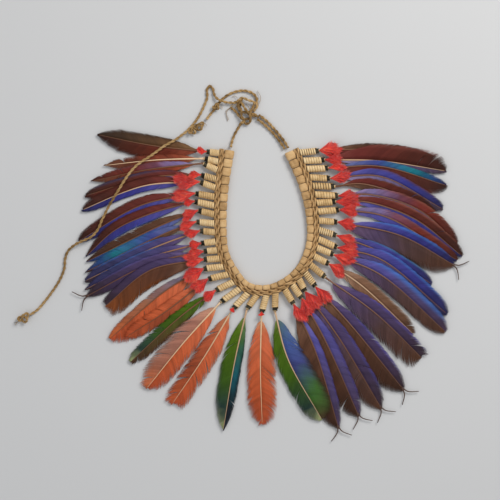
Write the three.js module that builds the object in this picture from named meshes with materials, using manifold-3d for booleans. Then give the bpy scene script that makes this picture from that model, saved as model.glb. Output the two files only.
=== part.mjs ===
// A feathered headdress lying flat: a U-shaped fibre band, 39 long feathers in wrapped sleeves,
// red down tufts over their roots, and the cords that tie it. Millimetres, +Z up, face up.
// X runs from the left arm of the band to the right arm, Y from its foot to its open ends.

import * as THREE from 'three';
import { mergeVertices } from 'three/addons/utils/BufferGeometryUtils.js';
import Module from 'manifold-3d';

const wasm = await Module();
wasm.setup();

// ---------- driving dimensions ----------

const SLEEVE_RADIUS = 4;          // corner radius of the six-sided sleeve
const SLEEVE_SIDES = 6;
const TIE_RADIUS = 2.7;           // the thread tie that closes a sleeve
const TIE_LENGTH = 4.6;
const ROW_HALF_WIDTH = 2.4;       // the twined row across the sleeves
const ROW_HALF_HEIGHT = 3.6;      // it stands a little proud of the sleeves
const ROW_FLOOR = 0.05;
const CORE_GAP = 0.35;            // clearance between neighbouring pieces
const CORE_REACH = 8.8;           // from the twined row to the band's inner edge, at the foot
const CORE_FLARE = 5;             // how much wider that is at the open ends
const CORE_HALF_HEIGHT = 3.4;
const CORE_PINCH = 0.8;           // how far the core narrows between two wrapped blocks

const VANE_EDGE = 0.25;           // half the thickness of a vane at its edge
const VANE_RIDGE = 0.55;          // the shaft above the middle of the vane
const VANE_KEEL = 0.35;           // the shaft below it
const QUILL_HALF_WIDTH = 1.3;
const LAYER_STEP = 1.2;           // height from one feather to the one that it lies on
const ROOT_HEIGHT = 3.5;          // height of the feathers at the ties
const TIP_HEIGHT = 2.9;           // and at a hundred millimetres from the band
const ROOT_GAP = 1;               // from a tie to its feather

const CORD_RADIUS = 1.5;
const CORD_SIDES = 8;
const CORD_STEP = 8.5;            // length of one straight step of a cord

const TUFT_THREAD_RADIUS = 1;
const TUFT_THREAD_HEIGHT = 8.3;   // the thread clears the sleeves
const LOCK_THICKNESS = 1.8;
const LOCK_FLOOR = 6.6;           // the underside of the tufts clears the feathers
const LOCK_TURN = 13;             // degrees from one lock of a tuft to the next
const FAN_ROOT = 1.6;             // half the width of a tuft where it is bound

const COLOURS = {
  straw: 0xd9b77e,
  core: 0xc09e72,
  cord: 0xa48350,
  red: 0xd8301f,
  olive: 0x5e4026,
  rust: 0x7a3524,
  maroon: 0x6b2c24,
  blue: 0x43407c,
  purple: 0x4c3d68,
  brown: 0x5a3a2a,
  orange: 0xc96238,
  green: 0x445f14,
  tan: 0x8a6248,
};

// ---------- layout tables ----------

// The twined row, from the upper left end round the foot to the upper right end.
const ROW_POINTS = [
  [-52, 152], [-57, 110], [-58, 72], [-54.5, 38], [-44, 17], [-27, -2], [-5, -6],
  [17, 1], [38, 19], [50, 47], [51, 78], [44, 114], [29, 152.5],
];

// One row for each feather. tie: where its sleeve is tied. via and tip: the line of its shaft.
// wide: the vane's width towards the feather before and towards the one after.
// step: its place in the overlap, counted up or down from the feather before.
const FEATHERS = [
  { tie: [-67, 149], via: [[-129, 156]], tip: [-189, 168], wide: [12, 15], step: 0, end: 'point', colour: 'olive' },
  { tie: [-69, 141], via: [[-126, 140]], tip: [-182, 134], wide: [7, 9], step: 1, end: 'point', colour: 'rust' },
  { tie: [-70, 135], via: [[-131, 130]], tip: [-195, 117], wide: [8, 8], step: 1, end: 'point', colour: 'rust' },
  { tie: [-73, 123], via: [[-131, 121]], tip: [-202, 101], wide: [8, 9], step: 1, end: 'round', colour: 'maroon' },
  { tie: [-74, 115], via: [[-131, 113], [-159, 105]], tip: [-206, 85], wide: [10, 7], step: 1, end: 'round', colour: 'maroon' },
  { tie: [-79, 103], via: [[-142, 90]], tip: [-210, 51], wide: [10, 8], step: 1, end: 'round', colour: 'maroon' },
  { tie: [-80, 94], via: [[-131, 81], [-170, 63]], tip: [-202, 34], wide: [9, 9], step: 1, end: 'point', colour: 'blue' },
  { tie: [-76, 84], via: [[-120, 68]], tip: [-202, 28], wide: [9, 8], step: 1, end: 'point', colour: 'brown' },
  { tie: [-78, 72], via: [[-120, 57]], tip: [-202, 17], wide: [9, 6], step: 1, end: 'point', colour: 'blue' },
  { tie: [-74, 62], via: [[-131, 42]], tip: [-203, 7], wide: [9, 8], step: 1, end: 'round', colour: 'purple' },
  { tie: [-73, 49], via: [[-137, 31]], tip: [-204, -3], wide: [9, 8], step: 1, end: 'point', colour: 'purple' },
  { tie: [-70, 40], via: [[-131, 26]], tip: [-202, -10], wide: [9, 8], step: 1, end: 'fork', colour: 'purple' },
  { tie: [-70, 31], via: [[-131, 19]], tip: [-180, -20], wide: [9, 18], step: 1, end: 'blunt', colour: 'brown' },
  { tie: [-70, 21], via: [[-115, -4]], tip: [-175, -56], wide: [8, 17], step: 1, end: 'round', colour: 'orange' },
  { tie: [-65, 10], via: [[-115, -27]], tip: [-157, -54], wide: [10, 9], step: 1, end: 'round', colour: 'orange' },
  { tie: [-57, -2], via: [[-98, -32]], tip: [-152, -81], wide: [9, 10], step: 1, end: 'round', colour: 'green' },
  { tie: [-51, -14], via: [[-93, -59]], tip: [-135, -111], wide: [18, 16], step: 1, end: 'round', colour: 'orange' },
  { tie: [-38, -21], via: [[-71, -75]], tip: [-107, -128], wide: [13, 15], step: -1, end: 'blunt', colour: 'orange' },
  { tie: [-23, -21], via: [[-38, -80]], tip: [-51, -157], wide: [15, 9], step: 1, end: 'point', colour: 'green' },
  { tie: [-8, -25], via: [[-10, -91]], tip: [-8, -150], wide: [16, 18], step: 1, end: 'round', colour: 'orange' },
  { tie: [6, -23], via: [[20, -78]], tip: [58, -146], wide: [15, 22], step: 1, end: 'round', colour: 'green' },
  { tie: [25, -16], via: [[50, -69]], tip: [76, -155], wide: [20, 9], step: -1, end: 'fork', colour: 'brown' },
  { tie: [34, -10], via: [[61, -58]], tip: [98, -141], wide: [19, 11], step: -1, end: 'fork', colour: 'brown' },
  { tie: [38, -2], via: [[78, -58]], tip: [123, -133], wide: [18, 13], step: -1, end: 'fork', colour: 'purple' },
  { tie: [49, 3], via: [[89, -41]], tip: [148, -113], wide: [20, 12], step: -1, end: 'fork', colour: 'brown' },
  { tie: [59, 13], via: [[116, -28]], tip: [168, -78], wide: [20, 12], step: -1, end: 'blunt', colour: 'purple' },
  { tie: [63, 27], via: [[100, 3]], tip: [158, -51], wide: [10, 11], step: -1, end: 'round', colour: 'tan' },
  { tie: [68, 37], via: [[122, 14]], tip: [193, -48], wide: [13, 13], step: -1, end: 'round', colour: 'blue' },
  { tie: [72, 45], via: [[122, 31]], tip: [195, -29], wide: [10, 12], step: -1, end: 'round', colour: 'blue' },
  { tie: [71, 58], via: [[122, 39]], tip: [178, 4], wide: [9, 9], step: -1, end: 'round', colour: 'blue' },
  { tie: [72, 72], via: [[144, 57]], tip: [204, 24], wide: [22, 10], step: -1, end: 'fork', colour: 'blue' },
  { tie: [74, 85], via: [[127, 78]], tip: [206, 30], wide: [8, 9], step: -1, end: 'round', colour: 'maroon' },
  { tie: [70, 94], via: [[106, 94], [160, 75]], tip: [211, 35], wide: [8, 10], step: -1, end: 'round', colour: 'maroon' },
  { tie: [73, 101], via: [[111, 102], [166, 84]], tip: [207, 47], wide: [8, 10], step: -1, end: 'round', colour: 'rust' },
  { tie: [69, 111], via: [[100, 114], [144, 102]], tip: [183, 84], wide: [9, 9], step: -1, end: 'point', colour: 'brown' },
  { tie: [64, 120], via: [[122, 122]], tip: [191, 86], wide: [9, 9], step: -1, end: 'round', colour: 'blue' },
  { tie: [62, 131], via: [[122, 133]], tip: [195, 112], wide: [15, 7], step: -1, end: 'round', colour: 'maroon' },
  { tie: [58, 140], via: [[122, 139]], tip: [194, 128], wide: [6, 15], step: -1, end: 'round', colour: 'maroon' },
  { tie: [52, 150], via: [[122, 152]], tip: [179, 145], wide: [9, 7], step: -1, end: 'point', colour: 'brown' },
];

// Where a feather is cut into sections along its length, and its width there as a share of the full one.
const STATIONS = [0, 0.08, 0.16, 0.28, 0.42, 0.54, 0.66, 0.78, 0.88, 0.95, 1];
const VANE_SHARE = [0, 0, 0.55, 0.88, 1, 1, 1];
const END_SHARE = {
  point: [0.92, 0.66, 0.36, 0.06],
  round: [1, 0.92, 0.7, 0.25],
  blunt: [1, 1, 0.92, 0.7],
  fork: [1, 0.85, 0.55, 0.12],
};

// The prongs of a forked tip: turned each way from the shaft's line, in degrees and millimetres.
const PRONG = { turn: 38, length: 19, back: 4, width: 2.6, height: 0.9 };

// The stretches of sleeves, by their first and last feather.
const SLEEVE_STRETCHES = [[0, 7], [8, 15], [16, 23], [24, 31], [32, 38]];

// The tufts of each stretch: the feather that each lies on, its length and its number of locks.
const TUFT_STRETCHES = [
  [{ at: 0, long: 13, locks: 2 }, { at: 3, long: 16, locks: 2 }, { at: 4, long: 34, locks: 3 },
    { at: 5, long: 34, locks: 2 }, { at: 6, long: 14, locks: 2 }, { at: 7, long: 24, locks: 2 }],
  [{ at: 8, long: 22, locks: 2 }, { at: 9, long: 22, locks: 2 }, { at: 10, long: 17, locks: 2 },
    { at: 11, long: 22, locks: 2 }, { at: 12, long: 25, locks: 3 }, { at: 13, long: 28, locks: 3 }],
  [{ at: 14, long: 28, locks: 3 }, { at: 15, long: 18, locks: 2 }, { at: 17, long: 6, locks: 1 }],
  [{ at: 19, long: 6, locks: 1 }, { at: 21, long: 24, locks: 2 }, { at: 22, long: 22, locks: 3 },
    { at: 23, long: 26, locks: 2 }, { at: 24, long: 26, locks: 2 }],
  [{ at: 26, long: 24, locks: 2 }, { at: 27, long: 28, locks: 2 }, { at: 28, long: 26, locks: 2 },
    { at: 29, long: 28, locks: 2 }, { at: 30, long: 26, locks: 2 }, { at: 31, long: 24, locks: 2 }],
  [{ at: 32, long: 32, locks: 2 }, { at: 33, long: 22, locks: 2 }, { at: 35, long: 26, locks: 2 },
    { at: 36, long: 22, locks: 1 }, { at: 37, long: 22, locks: 2 }, { at: 38, long: 28, locks: 3 }],
];

// ---------- small helpers ----------

const flat = ([x, y], z = 0) => new THREE.Vector3(x, y, z);
const lerp = THREE.MathUtils.lerp;
const radians = THREE.MathUtils.degToRad;
const group = new THREE.Group();

function add(name, geometry, colour, roughness = 0.85) {
  const material = new THREE.MeshStandardMaterial({ color: COLOURS[colour], roughness, metalness: 0 });
  const mesh = new THREE.Mesh(geometry, material);
  mesh.name = name;
  group.add(mesh);
}

function bare(geometry) {
  geometry.deleteAttribute('normal');
  geometry.deleteAttribute('uv');
  return mergeVertices(geometry, 1e-4);
}

// A closed skin through rings of points, with a flat cap on each end.
function loft(rings) {
  const sides = rings[0].length;
  const corners = [];
  for (let r = 0; r + 1 < rings.length; r += 1) {
    for (let k = 0; k < sides; k += 1) {
      const a = r * sides + k;
      const b = r * sides + (k + 1) % sides;
      corners.push(a, b, b + sides, a, b + sides, a + sides);
    }
  }
  const last = (rings.length - 1) * sides;
  for (let k = 1; k + 1 < sides; k += 1) {
    corners.push(0, k + 1, k, last, last + k, last + k + 1);
  }
  const points = rings.flat();
  if (signedVolume(points, corners) < 0) {
    corners.reverse();
  }
  const geometry = new THREE.BufferGeometry().setFromPoints(points);
  geometry.setIndex(corners);
  geometry.computeVertexNormals();
  return geometry;
}

function signedVolume(points, corners) {
  let total = 0;
  for (let i = 0; i < corners.length; i += 3) {
    const [a, b, c] = [points[corners[i]], points[corners[i + 1]], points[corners[i + 2]]];
    total += a.dot(b.clone().cross(c)) / 6;
  }
  return total;
}

function solidOf(geometry) {
  const merged = bare(geometry);
  const mesh = new wasm.Mesh({
    numProp: 3,
    vertProperties: new Float32Array(merged.attributes.position.array),
    triVerts: new Uint32Array(merged.index.array),
  });
  return new wasm.Manifold(mesh);
}

function joined(geometries) {
  let whole = solidOf(geometries[0]);
  for (const geometry of geometries.slice(1)) {
    whole = whole.add(solidOf(geometry));
  }
  return geometryOf(whole);
}

function geometryOf(solid) {
  const mesh = solid.getMesh();
  const geometry = new THREE.BufferGeometry();
  geometry.setAttribute('position', new THREE.BufferAttribute(new Float32Array(mesh.vertProperties), 3));
  geometry.setIndex(new THREE.BufferAttribute(new Uint32Array(mesh.triVerts), 1));
  geometry.computeVertexNormals();
  return geometry;
}

// A ring of points across a level line: a regular polygon with a flat foot.
function polygonRing(centre, side, sides, halfWidth, halfHeight) {
  const ring = [];
  for (let k = 0; k < sides; k += 1) {
    const turn = (2 * Math.PI * (k + 0.5)) / sides - Math.PI / 2;
    const point = centre.clone().addScaledVector(side, halfWidth * Math.cos(turn));
    point.z += halfHeight * Math.sin(turn);
    ring.push(point);
  }
  return ring;
}

const leftOf = (direction) => new THREE.Vector3(-direction.y, direction.x, 0).normalize();

// ---------- the band ----------

const row = new THREE.CatmullRomCurve3(ROW_POINTS.map((p) => flat(p)), false, 'centripetal');
row.arcLengthDivisions = 400;
const footOf = (radius, sides) => radius * Math.cos(Math.PI / sides);
const SLEEVE_HEIGHT = footOf(SLEEVE_RADIUS, SLEEVE_SIDES);
const rowShare = (index) => (index + 0.5) / FEATHERS.length;

// The core: wrapped blocks, one for each sleeve, pinched between them.
function baseBand() {
  const rings = [];
  const steps = FEATHERS.length * 2;
  for (let k = 0; k <= steps; k += 1) {
    const share = k / steps;
    const centre = row.getPointAt(share);
    const inward = leftOf(row.getTangentAt(share));
    const pinch = k % 2 === 0 ? CORE_PINCH : 0;
    const near = ROW_HALF_WIDTH + CORE_GAP;
    const far = CORE_REACH + CORE_FLARE * Math.abs(2 * share - 1) ** 1.5 - pinch;
    centre.addScaledVector(inward, (near + far) / 2);
    centre.z = CORE_HALF_HEIGHT;
    rings.push(polygonRing(centre, inward, 6, (far - near) / 2, CORE_HALF_HEIGHT / Math.cos(Math.PI / 6)));
  }
  return loft(rings);
}

function sleeve(index) {
  const start = row.getPointAt(rowShare(index));
  const tie = flat(FEATHERS[index].tie);
  const direction = tie.clone().sub(start).normalize();
  const side = leftOf(direction);
  const tieStart = tie.clone().addScaledVector(direction, -TIE_LENGTH / 2);
  const tieEnd = tie.clone().addScaledVector(direction, TIE_LENGTH / 2);
  const ringAt = (point, radius) => {
    const centre = point.clone().setZ(SLEEVE_HEIGHT);
    return polygonRing(centre, side, SLEEVE_SIDES, radius, radius);
  };
  return loft([
    ringAt(start, SLEEVE_RADIUS),
    ringAt(tieStart, SLEEVE_RADIUS),
    ringAt(tieStart.clone().addScaledVector(direction, 0.4), TIE_RADIUS),
    ringAt(tieEnd, TIE_RADIUS),
  ]);
}

// A stretch of the twined row with its sleeves.
function sleeveStretch(first, last) {
  const from = first / FEATHERS.length;
  const to = (last + 1) / FEATHERS.length - (last + 1 < FEATHERS.length ? CORE_GAP / row.getLength() : 0);
  const steps = last - first + 1;
  const rings = [];
  for (let k = 0; k <= steps; k += 1) {
    const share = lerp(from, to, k / steps);
    const centre = row.getPointAt(share).setZ(ROW_FLOOR + ROW_HALF_HEIGHT);
    const side = leftOf(row.getTangentAt(share));
    rings.push(polygonRing(centre, side, 4, ROW_HALF_WIDTH * Math.SQRT2, ROW_HALF_HEIGHT * Math.SQRT2));
  }
  const pieces = [loft(rings)];
  for (let index = first; index <= last; index += 1) {
    pieces.push(sleeve(index));
  }
  return joined(pieces);
}

// ---------- the feathers ----------

let rankSoFar = 0;
const shafts = FEATHERS.map((feather, index) => {
  rankSoFar += feather.step;
  const tie = flat(feather.tie);
  const direction = tie.clone().sub(row.getPointAt(rowShare(index))).normalize();
  const root = tie.clone().addScaledVector(direction, TIE_LENGTH / 2 + ROOT_GAP);
  const points = [root, ...feather.via.map((p) => flat(p)), flat(feather.tip)];
  const curve = new THREE.CatmullRomCurve3(points, false, 'centripetal');
  const samples = curve.getSpacedPoints(24);
  const heading = curve.getTangentAt(1);
  samples.push(samples[24].clone().addScaledVector(heading, 60));
  return { curve, samples, rank: rankSoFar };
});

function distanceTo(samples, point) {
  let nearest = Infinity;
  const foot = new THREE.Vector3();
  const line = new THREE.Line3();
  for (let k = 0; k + 1 < samples.length; k += 1) {
    line.set(samples[k], samples[k + 1]);
    line.closestPointToPoint(point, true, foot);
    nearest = Math.min(nearest, foot.distanceTo(point));
  }
  return nearest;
}

// The overlap at a place: the ranks of the two shafts on either side of it, in the ratio of their distances.
function rankAt(point) {
  const distances = shafts.map((shaft) => distanceTo(shaft.samples, point));
  const nearest = distances.indexOf(Math.min(...distances));
  const neighbour = nearest + (sideOf(nearest, point) > 0 ? 1 : -1);
  if (neighbour < 0 || neighbour >= shafts.length) {
    return shafts[nearest].rank;
  }
  const share = distances[nearest] / (distances[nearest] + distances[neighbour]);
  return lerp(shafts[nearest].rank, shafts[neighbour].rank, share);
}

// Which side of a shaft a place is on: positive towards the next feather.
function sideOf(index, point) {
  const samples = shafts[index].samples;
  const distances = samples.map((sample) => sample.distanceTo(point));
  const near = Math.min(distances.indexOf(Math.min(...distances)), samples.length - 2);
  const along = samples[near + 1].clone().sub(samples[near]);
  const across = point.clone().sub(samples[near]);
  return along.x * across.y - along.y * across.x;
}

const rowSamples = row.getSpacedPoints(60);

function featherHeight(rank, point) {
  const out = Math.min(1, distanceTo(rowSamples, point) / 100);
  return lerp(ROOT_HEIGHT, TIP_HEIGHT, out) + LAYER_STEP * (rank - rankAt(point));
}

function vaneShare(station, end) {
  return station < VANE_SHARE.length ? VANE_SHARE[station] : END_SHARE[end][station - VANE_SHARE.length];
}

function featherBlade(index) {
  const { wide, end } = FEATHERS[index];
  const { curve, rank } = shafts[index];
  const rings = STATIONS.map((share, station) => {
    const middle = curve.getPointAt(share);
    const side = leftOf(curve.getTangentAt(share));
    const width = wide.map((w) => Math.max(QUILL_HALF_WIDTH, w * vaneShare(station, end)));
    const after = middle.clone().addScaledVector(side, width[1]);
    const before = middle.clone().addScaledVector(side, -width[0]);
    const lift = (point, extra) => point.clone().setZ(featherHeight(rank, point) + extra);
    return [
      lift(after, VANE_EDGE), lift(middle, VANE_RIDGE), lift(before, VANE_EDGE),
      lift(before, -VANE_EDGE), lift(middle, -VANE_KEEL), lift(after, -VANE_EDGE),
    ];
  });
  return loft(rings);
}

// A dark prong at a forked tip.
function prong(index, sign) {
  const { curve, rank } = shafts[index];
  const heading = curve.getTangentAt(1).applyAxisAngle(new THREE.Vector3(0, 0, 1), sign * radians(PRONG.turn));
  const start = curve.getPointAt(1).addScaledVector(curve.getTangentAt(1), -PRONG.back);
  const height = featherHeight(rank, start);
  const rings = [0, 1].map((share) => {
    const centre = start.clone().addScaledVector(heading, share * PRONG.length).setZ(height);
    const halfWidth = (PRONG.width / 2) * (1 - 0.4 * share);
    return polygonRing(centre, leftOf(heading), 4, halfWidth * Math.SQRT2, PRONG.height / Math.SQRT2);
  });
  return loft(rings);
}

function feather(index) {
  if (FEATHERS[index].end !== 'fork') {
    return featherBlade(index);
  }
  return joined([featherBlade(index), prong(index, 1), prong(index, -1)]);
}

// ---------- the tufts ----------

// One tuft: a flat fan of pointed locks, as long as the outline below says.
function tuftFan(head, heading, { long, locks }) {
  const spread = (locks - 1) / 2;
  const at = (turn, reach) => [reach * Math.cos(radians(turn)), reach * Math.sin(radians(turn))];
  const outline = [[0, -FAN_ROOT], at(-LOCK_TURN * (spread + 0.55), long * 0.5)];
  for (let k = 0; k < locks; k += 1) {
    const turn = LOCK_TURN * (k - spread);
    outline.push(at(turn, long * (k % 2 === 0 ? 1 : 0.85)));
    outline.push(at(turn + LOCK_TURN * 0.5, long * (k + 1 < locks ? 0.62 : 0.5)));
  }
  outline.push([0, FAN_ROOT]);
  const shape = new THREE.Shape(outline.map(([x, y]) => new THREE.Vector2(x, y)));
  const geometry = new THREE.ExtrudeGeometry(shape, { depth: LOCK_THICKNESS, bevelEnabled: false });
  geometry.rotateZ(Math.atan2(heading.y, heading.x));
  geometry.translate(head.x, head.y, LOCK_FLOOR);
  return geometry;
}

function tuftStretch(tufts) {
  const pieces = [];
  const heads = [];
  for (const tuft of tufts) {
    const { curve } = shafts[tuft.at];
    const root = curve.getPointAt(0);
    const heading = curve.getPointAt(0.2).sub(root).normalize();
    const head = root.clone().addScaledVector(heading, -1).setZ(TUFT_THREAD_HEIGHT);
    heads.push(head);
    pieces.push(tuftFan(head, heading, tuft));
  }
  const thread = heads.slice(0, -1).map((head, k) => {
    const along = heads[k + 1].clone().sub(head).normalize();
    const ends = [head.clone().addScaledVector(along, -0.6), heads[k + 1].clone().addScaledVector(along, 0.6)];
    const ring = (end) => polygonRing(end, leftOf(along), 4, TUFT_THREAD_RADIUS, TUFT_THREAD_RADIUS);
    return loft(ends.map(ring));
  });
  return joined([...thread, ...pieces]);
}

// ---------- the cords and their knots ----------

// Each cord's route: x, y and height of its middle line.
const ROUTES = {
  left_tie: [[-42.4, 154.4, 3.4], [-41, 161, 2.6], [-38, 168.9, 1.8], [-34.5, 175, 2.2], [-31.6, 179, 3.2]],
  right_tie_1: [
    [20.4, 153.4, 3.4], [16.6, 160.2, 2.6], [9.8, 169, 1.8], [3, 176.8, 1.7], [-5.4, 185, 2.2], [-11.6, 189.4, 3.4],
  ],
  right_tie_2: [
    [16.6, 152.6, 3.4], [13.2, 157.8, 2.6], [6.8, 166.4, 1.8], [0, 173.8, 1.7], [-8.4, 181.4, 2.2], [-13.4, 185, 3.4],
  ],
  loop_cord: [
    [-14, 201.6, 3.4], [-14.2, 208.4, 2.2], [-19.5, 214, 1.8], [-29.8, 216.4, 1.6], [-42.4, 213.4, 1.6],
    [-50.2, 208.4, 1.6], [-55.4, 203, 2.6], [-58.8, 197.8, 4.2], [-64.6, 190.8, 2.6], [-69.2, 184.6, 3.6],
  ],
  tail_cord: [
    [-37.6, 203, 3.8], [-46, 203.2, 3.6], [-53, 205, 5.9], [-58.4, 208.4, 4], [-61.2, 213.6, 2],
    [-62.4, 218.8, 1.6], [-66, 221.4, 1.6], [-68.6, 217.6, 1.6], [-68.4, 209.2, 1.6], [-71.2, 201.3, 1.6],
    [-76.2, 190.6, 1.8], [-82.4, 181.1, 2.6], [-90.4, 172.2, 3.6], [-96.6, 167.1, 5.4], [-102.1, 162.9, 6.8],
    [-116.1, 154.8, 7.6], [-130, 144.7, 7.6], [-146, 133.8, 7.6], [-157.2, 120.5, 7.6], [-166.9, 104.7, 7.6],
    [-175.7, 90, 7.6], [-183.2, 75.4, 7.6], [-188.4, 63.5, 7.6], [-195.4, 55.9, 7.4], [-205.2, 51.2, 6.8],
    [-214, 46.8, 5], [-221.3, 40.2, 2.8], [-224.6, 31.4, 1.6], [-225.6, 20.8, 1.6], [-230.2, 9, 1.6],
    [-237.6, -2.8, 1.6], [-246.4, -14.5, 1.6], [-255.2, -24.6, 1.9], [-263.4, -30.2, 3.4],
  ],
};

// Each knot's lumps: middle, half sizes and turn in degrees.
const KNOTS = {
  main_knot: [
    { at: [-31.4, 195.3, 4.5], size: [4.6, 12.4, 4.4], turn: 4 },
    { at: [-24.8, 203.2, 4.5], size: [10, 4.6, 4.4], turn: 0 },
    { at: [-18.6, 193.4, 4.5], size: [5.6, 11.6, 4.4], turn: 8 },
    { at: [-26.6, 183, 4.5], size: [7.6, 4.8, 4.4], turn: 0 },
  ],
  stop_knot: [{ at: [-58.6, 198.2, 4.4], size: [5, 4.4, 4.3], turn: 40 }],
  slide_knot: [
    { at: [-76.4, 177.4, 4.7], size: [8.4, 5.4, 4.6], turn: 24 },
    { at: [-85.2, 171.4, 4.4], size: [6, 4.6, 4.3], turn: 50 },
  ],
  end_knot: [
    { at: [-270, -33.6, 4.8], size: [7.4, 5.4, 4.7], turn: 30 },
    { at: [-276.4, -36.6, 3.6], size: [3.8, 3, 3.2], turn: 10 },
  ],
};

function cordTube(name, radius) {
  const points = ROUTES[name].map((p) => new THREE.Vector3(...p));
  const curve = new THREE.CatmullRomCurve3(points, false, 'centripetal');
  const section = new THREE.Shape();
  for (let k = 0; k < CORD_SIDES; k += 1) {
    const turn = (2 * Math.PI * (k + 0.5)) / CORD_SIDES;
    const [x, y] = [radius * Math.cos(turn), radius * Math.sin(turn)];
    if (k === 0) {
      section.moveTo(x, y);
    } else {
      section.lineTo(x, y);
    }
  }
  const steps = Math.round(curve.getLength() / CORD_STEP);
  return new THREE.ExtrudeGeometry(section, { steps, curveSegments: 1, extrudePath: curve });
}

// A knot: its lumps in one, with the cords' own channels left clear.
function knot(name, cords) {
  const lumps = KNOTS[name].map(({ at, size, turn }) => {
    const geometry = new THREE.SphereGeometry(1, 8, 4);
    geometry.rotateX(Math.PI / 2);
    geometry.scale(...size);
    geometry.rotateZ(radians(turn));
    geometry.translate(...at);
    return geometry;
  });
  let whole = solidOf(joined(lumps));
  for (const cord of cords) {
    whole = whole.subtract(solidOf(cordTube(cord, CORD_RADIUS + CORE_GAP)));
  }
  return geometryOf(whole);
}

const KNOT_CORDS = {
  main_knot: ['left_tie', 'right_tie_1', 'right_tie_2', 'loop_cord', 'tail_cord'],
  stop_knot: ['loop_cord'],
  slide_knot: ['loop_cord', 'tail_cord'],
  end_knot: ['tail_cord'],
};

// ---------- assembly ----------

add('base_band', baseBand(), 'core');
SLEEVE_STRETCHES.forEach(([first, last], k) => add(`sleeve_row_${k + 1}`, sleeveStretch(first, last), 'straw'));
FEATHERS.forEach(({ colour }, index) => {
  add(`feather_${String(index + 1).padStart(2, '0')}`, feather(index), colour, 0.6);
});
TUFT_STRETCHES.forEach((tufts, k) => add(`tuft_row_${k + 1}`, tuftStretch(tufts), 'red'));

// The origin: on the surface, under the middle of the headdress without its cords.
const body = new THREE.Box3().setFromObject(group);
const origin = body.getCenter(new THREE.Vector3()).setZ(body.min.z);

Object.keys(ROUTES).forEach((name) => add(name, cordTube(name, CORD_RADIUS), 'cord'));
Object.keys(KNOTS).forEach((name) => add(name, knot(name, KNOT_CORDS[name]), 'cord'));
group.children.forEach((mesh) => mesh.geometry.translate(-origin.x, -origin.y, -origin.z));

export default group;
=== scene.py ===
# %% [markdown]
# # A feathered headdress, laid flat
# The real thing is a band of palm fibre with thirty-nine long wing and tail feathers. Each quill is
# folded into a wrapped sleeve, tied with black thread, and a small red down tuft is bound over it.
# Two cords close the band at the back of the head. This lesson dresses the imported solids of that
# headdress: every plain blade, sleeve and tube is replaced by one with its real build.

# %% Frame, units and helpers for numbers
import math

import bmesh
import bpy
import numpy as np
from mathutils import Matrix, Vector


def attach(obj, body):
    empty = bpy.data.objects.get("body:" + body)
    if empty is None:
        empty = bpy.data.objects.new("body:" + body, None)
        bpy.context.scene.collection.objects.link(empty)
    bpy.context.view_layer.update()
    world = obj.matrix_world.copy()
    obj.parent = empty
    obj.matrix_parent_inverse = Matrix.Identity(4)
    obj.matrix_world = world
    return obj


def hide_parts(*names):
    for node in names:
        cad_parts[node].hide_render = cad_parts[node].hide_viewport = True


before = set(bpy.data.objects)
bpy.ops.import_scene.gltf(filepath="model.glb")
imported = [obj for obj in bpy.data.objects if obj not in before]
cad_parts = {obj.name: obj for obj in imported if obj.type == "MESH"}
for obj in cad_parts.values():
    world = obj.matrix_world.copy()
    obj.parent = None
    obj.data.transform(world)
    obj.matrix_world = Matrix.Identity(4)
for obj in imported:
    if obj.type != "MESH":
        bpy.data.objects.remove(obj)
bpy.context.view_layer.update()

MM = 0.001
LAYOUT_ORIGIN = np.array([1.075, 2.084, 0.0])  # the part's origin in the layout's millimetres
UP = np.array([0.0, 0.0, 1.0])


def to_metres(points):
    """Layout millimetres to metres in the part's frame."""
    return (np.asarray(points, float) - LAYOUT_ORIGIN) * MM


def flat(points, height=0.0):
    """Plan points with a height added."""
    plan = np.asarray(points, float)
    return np.column_stack([plan, np.full(len(plan), height)])


# %% [markdown]
# ## Camera, light and floor
# The headdress lies face up on a pale studio table and is looked at from straight above. A long lens
# keeps the edges free of perspective. One large soft lamp at the upper right gives each feather a
# faint shadow on the next, and a weaker one fills the other side.

# %% Camera
VIEW_WIDTH = 550 * MM
VIEW_CENTRE = to_metres([[-21.45, 41.25, 0.0]])[0]
CAMERA_HEIGHT = 2.2
SENSOR = 36.0

camera_data = bpy.data.cameras.new("camera")
camera_data.sensor_width = SENSOR
camera_data.lens = SENSOR * CAMERA_HEIGHT / VIEW_WIDTH
camera = bpy.data.objects.new("camera", camera_data)
camera.location = (VIEW_CENTRE[0], VIEW_CENTRE[1], CAMERA_HEIGHT)
bpy.context.scene.collection.objects.link(camera)
bpy.context.scene.camera = camera
print("lens", round(camera_data.lens, 1), "mm")

# %% Light
def lamp(name, place, target, size, power, colour):
    """A square soft box that faces a target."""
    data = bpy.data.lights.new(name, "AREA")
    data.shape = "SQUARE"
    data.size = size
    data.energy = power
    data.color = colour
    light = bpy.data.objects.new(name, data)
    light.location = place
    aim = Vector(target) - Vector(place)
    light.rotation_euler = aim.to_track_quat("-Z", "Y").to_euler()
    bpy.context.scene.collection.objects.link(light)


LOOK_AT = (VIEW_CENTRE[0], VIEW_CENTRE[1], 0.0)
lamp("key_lamp", (0.75, 0.95, 1.25), LOOK_AT, 0.7, 19, (1.0, 0.985, 0.96))
lamp("fill_lamp", (-1.1, -0.5, 1.6), LOOK_AT, 1.6, 6.5, (0.95, 0.97, 1.0))
world = bpy.data.worlds.new("studio")
world.use_nodes = True
world.node_tree.nodes["Background"].inputs["Color"].default_value = (0.95, 0.97, 1.0, 1.0)
world.node_tree.nodes["Background"].inputs["Strength"].default_value = 0.46
bpy.context.scene.world = world
bpy.context.scene.view_settings.view_transform = "Standard"

# %% [markdown]
# ## Materials
# A feather's colour follows the vane: one scheme along each side of the shaft. So a plumage
# material reads the piece's UV map, where U runs across the vane and V along it, and a number
# stored on each barb that sets it a little lighter or darker than the next one.

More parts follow.
